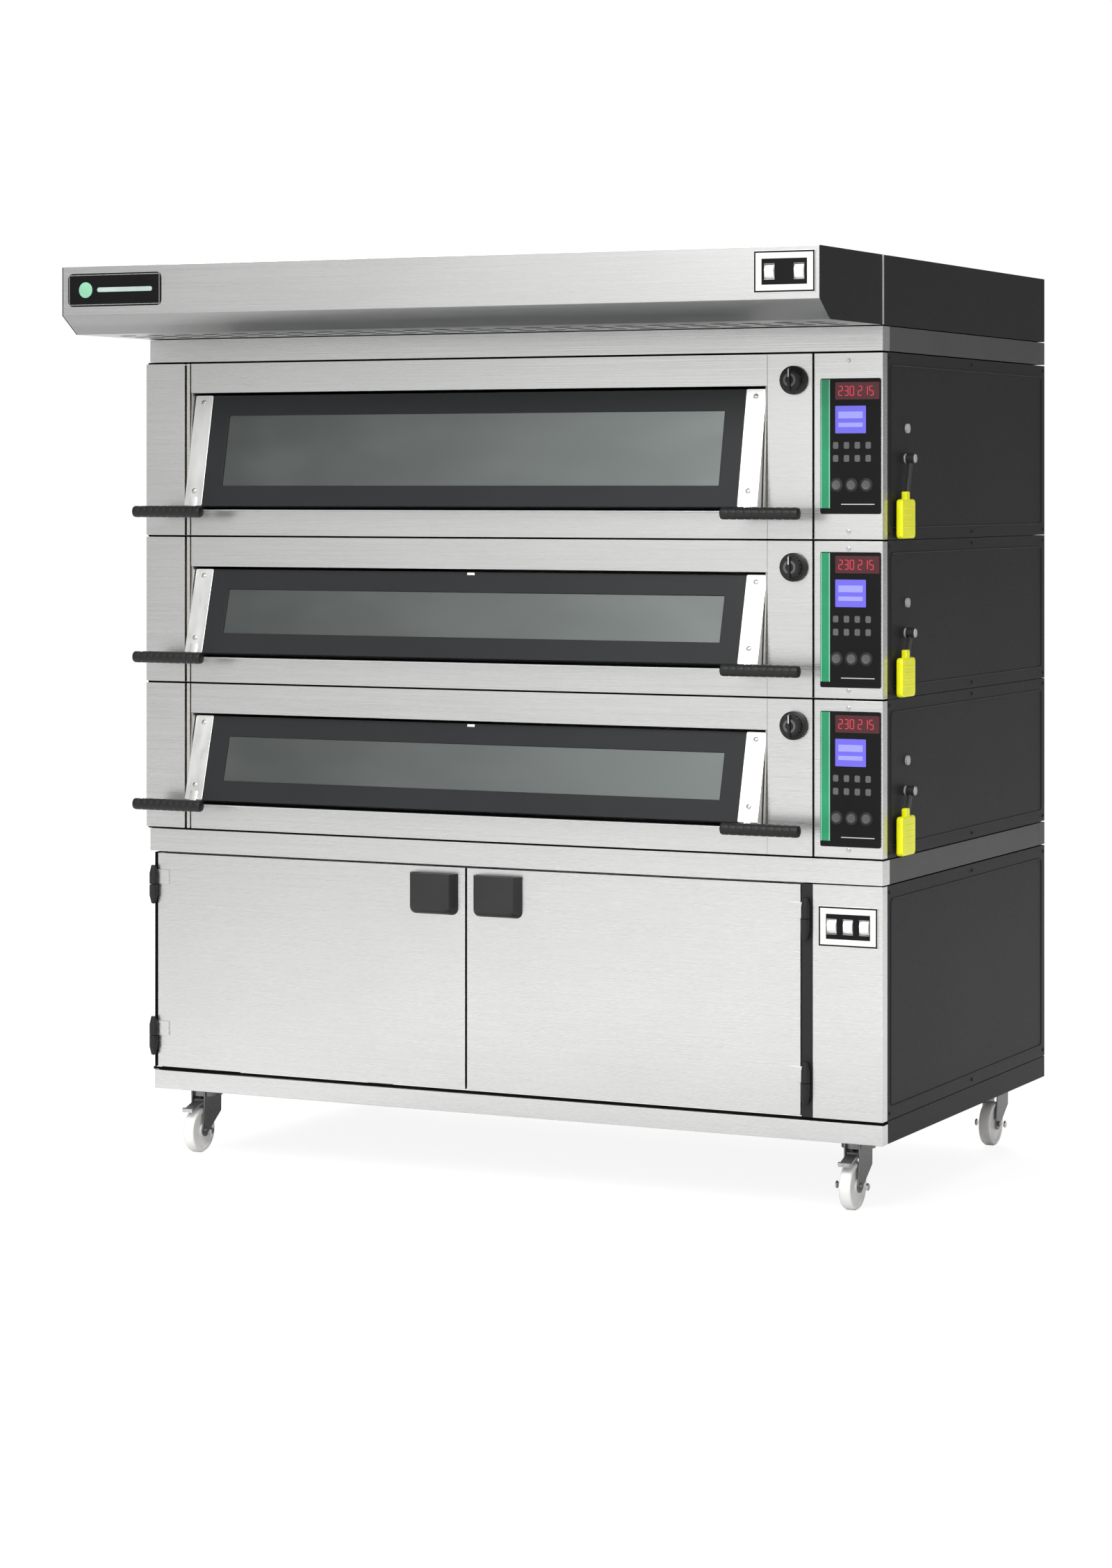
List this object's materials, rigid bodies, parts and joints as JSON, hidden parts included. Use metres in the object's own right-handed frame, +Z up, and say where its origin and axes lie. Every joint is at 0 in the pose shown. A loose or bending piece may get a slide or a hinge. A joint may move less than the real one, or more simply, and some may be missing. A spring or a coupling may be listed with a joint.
{
  "type": "deck oven",
  "caption": "Bakery deck oven: stacked baking decks with lift-up glass doors, extraction hood on top and a two-door prover cabinet on casters below.",
  "frame": {"origin": "on the floor, midway between the body's sides and midway between the hood's front face and the body's back", "axes": "+Z up, +Y from the oven's front to its back, +X to the right as seen from the front"},
  "size_m": [1.804, 1.4129, 2.04],
  "materials": {
    "stainless": "fine brushed stainless steel",
    "anthracite_paint": "anthracite powder coat, satin",
    "aluminised_steel": "matt aluminised steel",
    "hearth_stone": "pressed refractory stone, matt",
    "mineral_wool": "mineral wool",
    "heater_sheath": "oxidised heater sheath",
    "panel_black": "black control foil, satin",
    "black_plastic": "black moulded plastic",
    "door_border": "dark enamelled door frame",
    "door_glass": "heat-reflecting glass, grey green",
    "yellow_grip": "yellow plastic grip",
    "grey_key": "grey rubber key",
    "white_rocker": "white rocker",
    "zinc_steel": "zinc-plated steel",
    "nylon_wheel": "white nylon"
  },
  "bodies": {
    "oven": {"base_frame": "stainless", "prover_cabinet": "stainless", "prover_racks": "aluminised_steel", "prover_hinges": "black_plastic", "cabinet_bands": "stainless", "deck_fronts": "stainless", "outer_covers": "anthracite_paint", "front_plates": "panel_black", "baking_chambers": "aluminised_steel", "hearth_stones": "hearth_stone", "heating_elements": "heater_sheath", "steam_boxes": "aluminised_steel", "insulation": "mineral_wool", "hood_canopy": "stainless", "hood_covers": "anthracite_paint", "hood_fan": "aluminised_steel", "fittings": "stainless"},
    "lower_door": {"lower_door_frame": "door_border", "lower_door_glass": "door_glass", "lower_door_handles": "stainless"},
    "middle_door": {"middle_door_frame": "door_border", "middle_door_glass": "door_glass", "middle_door_handles": "stainless"},
    "upper_door": {"upper_door_frame": "door_border", "upper_door_glass": "door_glass", "upper_door_handles": "stainless"},
    "lower_damper": {"lower_damper_knob": "black_plastic"},
    "middle_damper": {"middle_damper_knob": "black_plastic"},
    "upper_damper": {"upper_damper_knob": "black_plastic"},
    "lower_key_left": {"lower_key_left": "grey_key"},
    "lower_key_middle": {"lower_key_middle": "grey_key"},
    "lower_key_right": {"lower_key_right": "grey_key"},
    "middle_key_left": {"middle_key_left": "grey_key"},
    "middle_key_middle": {"middle_key_middle": "grey_key"},
    "middle_key_right": {"middle_key_right": "grey_key"},
    "upper_key_left": {"upper_key_left": "grey_key"},
    "upper_key_middle": {"upper_key_middle": "grey_key"},
    "upper_key_right": {"upper_key_right": "grey_key"},
    "lower_lever": {"lower_steam_lever": "yellow_grip"},
    "middle_lever": {"middle_steam_lever": "yellow_grip"},
    "upper_lever": {"upper_steam_lever": "yellow_grip"},
    "prover_door_left": {"prover_door_left": "stainless", "prover_cup_left": "black_plastic"},
    "prover_door_right": {"prover_door_right": "stainless", "prover_cup_right": "black_plastic"},
    "prover_rocker_left": {"prover_rocker_left": "white_rocker"},
    "prover_rocker_middle": {"prover_rocker_middle": "white_rocker"},
    "prover_rocker_right": {"prover_rocker_right": "white_rocker"},
    "hood_rocker_left": {"hood_rocker_left": "white_rocker"},
    "hood_rocker_right": {"hood_rocker_right": "white_rocker"},
    "fork_front_left": {"caster_fork_front_left": "zinc_steel"},
    "wheel_front_left": {"caster_wheel_front_left": "nylon_wheel"},
    "fork_front_right": {"caster_fork_front_right": "zinc_steel"},
    "wheel_front_right": {"caster_wheel_front_right": "nylon_wheel"},
    "fork_back_left": {"caster_fork_back_left": "zinc_steel"},
    "wheel_back_left": {"caster_wheel_back_left": "nylon_wheel"},
    "fork_back_right": {"caster_fork_back_right": "zinc_steel"},
    "wheel_back_right": {"caster_wheel_back_right": "nylon_wheel"},
    "pedal_left": {"brake_pedal_left": "zinc_steel"},
    "pedal_right": {"brake_pedal_right": "zinc_steel"}
  },
  "joints": [
    {"name": "lower_door_hinge", "type": "hinge", "parent": "oven", "child": "lower_door", "pos_m": [0, -0.3245, 0.98094], "axis": [-1, 0, 0], "range_deg": [0, 80]},
    {"name": "middle_door_hinge", "type": "hinge", "parent": "oven", "child": "middle_door", "pos_m": [0, -0.3245, 1.31094], "axis": [-1, 0, 0], "range_deg": [0, 80]},
    {"name": "upper_door_hinge", "type": "hinge", "parent": "oven", "child": "upper_door", "pos_m": [0, -0.3245, 1.70155], "axis": [-1, 0, 0], "range_deg": [0, 80]},
    {"name": "lower_damper_turn", "type": "hinge", "parent": "oven", "child": "lower_damper", "pos_m": [0.693, -0.3475, 1.013], "axis": [0, 1, 0], "range_deg": [0, 90]},
    {"name": "middle_damper_turn", "type": "hinge", "parent": "oven", "child": "middle_damper", "pos_m": [0.693, -0.3475, 1.343], "axis": [0, 1, 0], "range_deg": [0, 90]},
    {"name": "upper_damper_turn", "type": "hinge", "parent": "oven", "child": "upper_damper", "pos_m": [0.693, -0.3475, 1.733], "axis": [0, 1, 0], "range_deg": [0, 90]},
    {"name": "lower_key_left_press", "type": "slide", "parent": "oven", "child": "lower_key_left", "axis": [0, 1, 0], "range_m": [0, 0.0015], "stiffness_N_per_m": 300, "springref_m": -0.001},
    {"name": "lower_key_middle_press", "type": "slide", "parent": "oven", "child": "lower_key_middle", "axis": [0, 1, 0], "range_m": [0, 0.0015], "stiffness_N_per_m": 300, "springref_m": -0.001},
    {"name": "lower_key_right_press", "type": "slide", "parent": "oven", "child": "lower_key_right", "axis": [0, 1, 0], "range_m": [0, 0.0015], "stiffness_N_per_m": 300, "springref_m": -0.001},
    {"name": "middle_key_left_press", "type": "slide", "parent": "oven", "child": "middle_key_left", "axis": [0, 1, 0], "range_m": [0, 0.0015], "stiffness_N_per_m": 300, "springref_m": -0.001},
    {"name": "middle_key_middle_press", "type": "slide", "parent": "oven", "child": "middle_key_middle", "axis": [0, 1, 0], "range_m": [0, 0.0015], "stiffness_N_per_m": 300, "springref_m": -0.001},
    {"name": "middle_key_right_press", "type": "slide", "parent": "oven", "child": "middle_key_right", "axis": [0, 1, 0], "range_m": [0, 0.0015], "stiffness_N_per_m": 300, "springref_m": -0.001},
    {"name": "upper_key_left_press", "type": "slide", "parent": "oven", "child": "upper_key_left", "axis": [0, 1, 0], "range_m": [0, 0.0015], "stiffness_N_per_m": 300, "springref_m": -0.001},
    {"name": "upper_key_middle_press", "type": "slide", "parent": "oven", "child": "upper_key_middle", "axis": [0, 1, 0], "range_m": [0, 0.0015], "stiffness_N_per_m": 300, "springref_m": -0.001},
    {"name": "upper_key_right_press", "type": "slide", "parent": "oven", "child": "upper_key_right", "axis": [0, 1, 0], "range_m": [0, 0.0015], "stiffness_N_per_m": 300, "springref_m": -0.001},
    {"name": "lower_lever_turn", "type": "hinge", "parent": "oven", "child": "lower_lever", "pos_m": [0.903, -0.2175, 0.875], "axis": [1, 0, 0], "range_deg": [0, 90]},
    {"name": "middle_lever_turn", "type": "hinge", "parent": "oven", "child": "middle_lever", "pos_m": [0.903, -0.2175, 1.205], "axis": [1, 0, 0], "range_deg": [0, 90]},
    {"name": "upper_lever_turn", "type": "hinge", "parent": "oven", "child": "upper_lever", "pos_m": [0.903, -0.2175, 1.57], "axis": [1, 0, 0], "range_deg": [0, 90]},
    {"name": "prover_door_left_hinge", "type": "hinge", "parent": "oven", "child": "prover_door_left", "pos_m": [-0.866, -0.3555, 0.441], "axis": [0, 0, -1], "range_deg": [0, 110]},
    {"name": "prover_door_right_hinge", "type": "hinge", "parent": "oven", "child": "prover_door_right", "pos_m": [0.7215, -0.3555, 0.441], "axis": [0, 0, 1], "range_deg": [0, 110]},
    {"name": "prover_rocker_left_tip", "type": "hinge", "parent": "oven", "child": "prover_rocker_left", "pos_m": [0.778, -0.3405, 0.5985], "axis": [-1, 0, 0], "range_deg": [0, 16]},
    {"name": "prover_rocker_middle_tip", "type": "hinge", "parent": "oven", "child": "prover_rocker_middle", "pos_m": [0.814, -0.3405, 0.5985], "axis": [-1, 0, 0], "range_deg": [0, 16]},
    {"name": "prover_rocker_right_tip", "type": "hinge", "parent": "oven", "child": "prover_rocker_right", "pos_m": [0.85, -0.3405, 0.5985], "axis": [-1, 0, 0], "range_deg": [0, 16]},
    {"name": "hood_rocker_left_tip", "type": "hinge", "parent": "oven", "child": "hood_rocker_left", "pos_m": [0.782, -0.6855, 1.9395], "axis": [-1, 0, 0], "range_deg": [0, 16]},
    {"name": "hood_rocker_right_tip", "type": "hinge", "parent": "oven", "child": "hood_rocker_right", "pos_m": [0.846, -0.6855, 1.9395], "axis": [-1, 0, 0], "range_deg": [0, 16]},
    {"name": "swivel_front_left", "type": "hinge", "parent": "oven", "child": "fork_front_left", "pos_m": [-0.795, -0.2405, 0.135], "axis": [0, 0, 1], "continuous": true},
    {"name": "roll_front_left", "type": "hinge", "parent": "fork_front_left", "child": "wheel_front_left", "pos_m": [-0.795, -0.2755, 0.05], "axis": [1, 0, 0], "continuous": true},
    {"name": "swivel_front_right", "type": "hinge", "parent": "oven", "child": "fork_front_right", "pos_m": [0.795, -0.2405, 0.135], "axis": [0, 0, 1], "continuous": true},
    {"name": "roll_front_right", "type": "hinge", "parent": "fork_front_right", "child": "wheel_front_right", "pos_m": [0.795, -0.2755, 0.05], "axis": [1, 0, 0], "continuous": true},
    {"name": "swivel_back_left", "type": "hinge", "parent": "oven", "child": "fork_back_left", "pos_m": [-0.795, 0.6265, 0.135], "axis": [0, 0, 1], "continuous": true},
    {"name": "roll_back_left", "type": "hinge", "parent": "fork_back_left", "child": "wheel_back_left", "pos_m": [-0.795, 0.5915, 0.05], "axis": [1, 0, 0], "continuous": true},
    {"name": "swivel_back_right", "type": "hinge", "parent": "oven", "child": "fork_back_right", "pos_m": [0.795, 0.6265, 0.135], "axis": [0, 0, 1], "continuous": true},
    {"name": "roll_back_right", "type": "hinge", "parent": "fork_back_right", "child": "wheel_back_right", "pos_m": [0.795, 0.5915, 0.05], "axis": [1, 0, 0], "continuous": true},
    {"name": "brake_pedal_left_press", "type": "hinge", "parent": "fork_front_left", "child": "pedal_left", "pos_m": [-0.795, -0.2705, 0.114], "axis": [1, 0, 0], "range_deg": [0, 15]},
    {"name": "brake_pedal_right_press", "type": "hinge", "parent": "fork_front_right", "child": "pedal_right", "pos_m": [0.795, -0.2705, 0.114], "axis": [1, 0, 0], "range_deg": [0, 15]}
  ]
}
